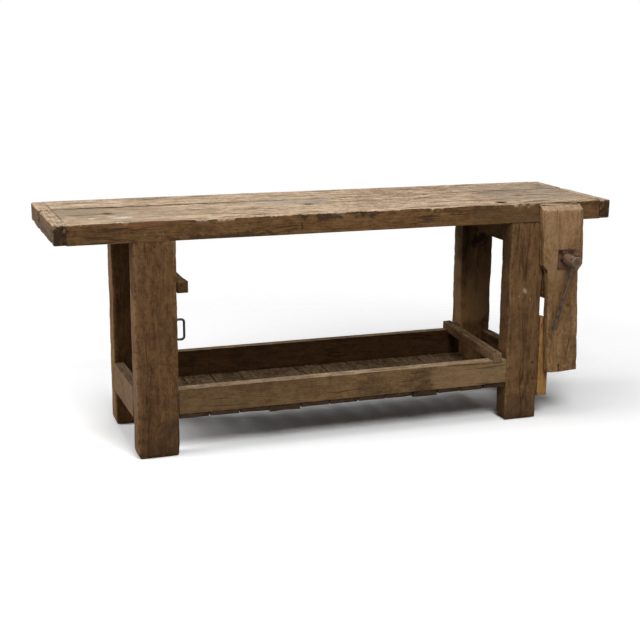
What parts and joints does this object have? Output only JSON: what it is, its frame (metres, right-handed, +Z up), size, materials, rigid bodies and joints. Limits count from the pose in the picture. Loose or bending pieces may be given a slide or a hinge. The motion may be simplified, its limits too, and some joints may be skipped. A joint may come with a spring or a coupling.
{
  "type": "woodworking bench",
  "caption": "Old woodworking bench with a thick plank top, holdfast holes, a slatted tool tray between board legs and a leg vise with an iron screw and sliding bar.",
  "frame": {"origin": "on the floor, in the middle of the whole outline, which reaches forward to the end of the closed vise's screw", "axes": "+X along the bench to the right as seen from its front, where the vise is; +Y to the back; +Z up"},
  "size_m": [2, 0.6468, 0.8],
  "materials": {
    "top_wood": "bare, bleached and worn",
    "frame_wood": "bare, dark and worn",
    "tray_wood": "bare and worn",
    "chop_wood": "bare and worn",
    "new_wood": "bare, newer",
    "rusty_iron": "brown rust",
    "dark_iron": "black oxide"
  },
  "bodies": {
    "frame": {"top_front_plank": "top_wood", "top_rear_plank": "top_wood", "left_cap_front": "top_wood", "left_cap_rear": "top_wood", "right_cap_front": "top_wood", "right_cap_rear": "top_wood", "leg_pegs": "top_wood", "plank_dowels": "top_wood", "front_left_leg": "frame_wood", "rear_left_leg": "frame_wood", "front_right_leg": "frame_wood", "rear_right_leg": "frame_wood", "left_stretcher": "frame_wood", "right_stretcher": "frame_wood", "left_upper_rail": "frame_wood", "right_upper_rail": "frame_wood", "drawer_runner": "frame_wood", "nut_block": "frame_wood", "nut_block_dowels": "frame_wood", "tray_front_rail": "tray_wood", "tray_rear_rail": "tray_wood", "tray_end_bar": "tray_wood", "tray_board_01": "tray_wood", "tray_board_02": "tray_wood", "tray_board_03": "tray_wood", "tray_board_04": "tray_wood", "tray_board_05": "tray_wood", "tray_board_06": "tray_wood", "tray_board_07": "tray_wood", "tray_board_08": "tray_wood", "tray_board_09": "tray_wood", "tray_board_10": "tray_wood", "tray_board_11": "tray_wood", "tray_board_12": "tray_wood", "packing_board": "new_wood", "vise_nut": "rusty_iron", "iron_staple": "dark_iron", "cap_nails": "dark_iron", "tray_nails": "dark_iron", "end_bar_nails": "dark_iron", "packing_nails": "dark_iron", "runner_screws": "dark_iron", "nut_screws": "dark_iron"},
    "chop": {"vise_chop": "chop_wood", "screw_plate": "rusty_iron", "plate_nails": "dark_iron"},
    "screw": {"vise_screw": "rusty_iron", "screw_collar": "rusty_iron", "collar_pin": "rusty_iron"},
    "bar": {"tommy_bar": "rusty_iron", "tommy_knob_top": "rusty_iron", "tommy_knob_bottom": "rusty_iron"}
  },
  "joints": [
    {"name": "chop_slide", "type": "slide", "parent": "frame", "child": "chop", "axis": [0, -1, 0], "range_m": [0, 0.16]},
    {"name": "screw_turn", "type": "hinge", "parent": "chop", "child": "screw", "pos_m": [0.81, -0.21655, 0.599], "axis": [0, -1, 0], "range_deg": [0, 7200]},
    {"name": "bar_slide", "type": "slide", "parent": "screw", "child": "bar", "axis": [0.284, 0, 0.9588], "range_m": [0, 0.2215]}
  ],
  "couplings": [
    {"joint": "chop_slide", "follows": "screw_turn", "m_per_rad": 0.0012732}
  ]
}
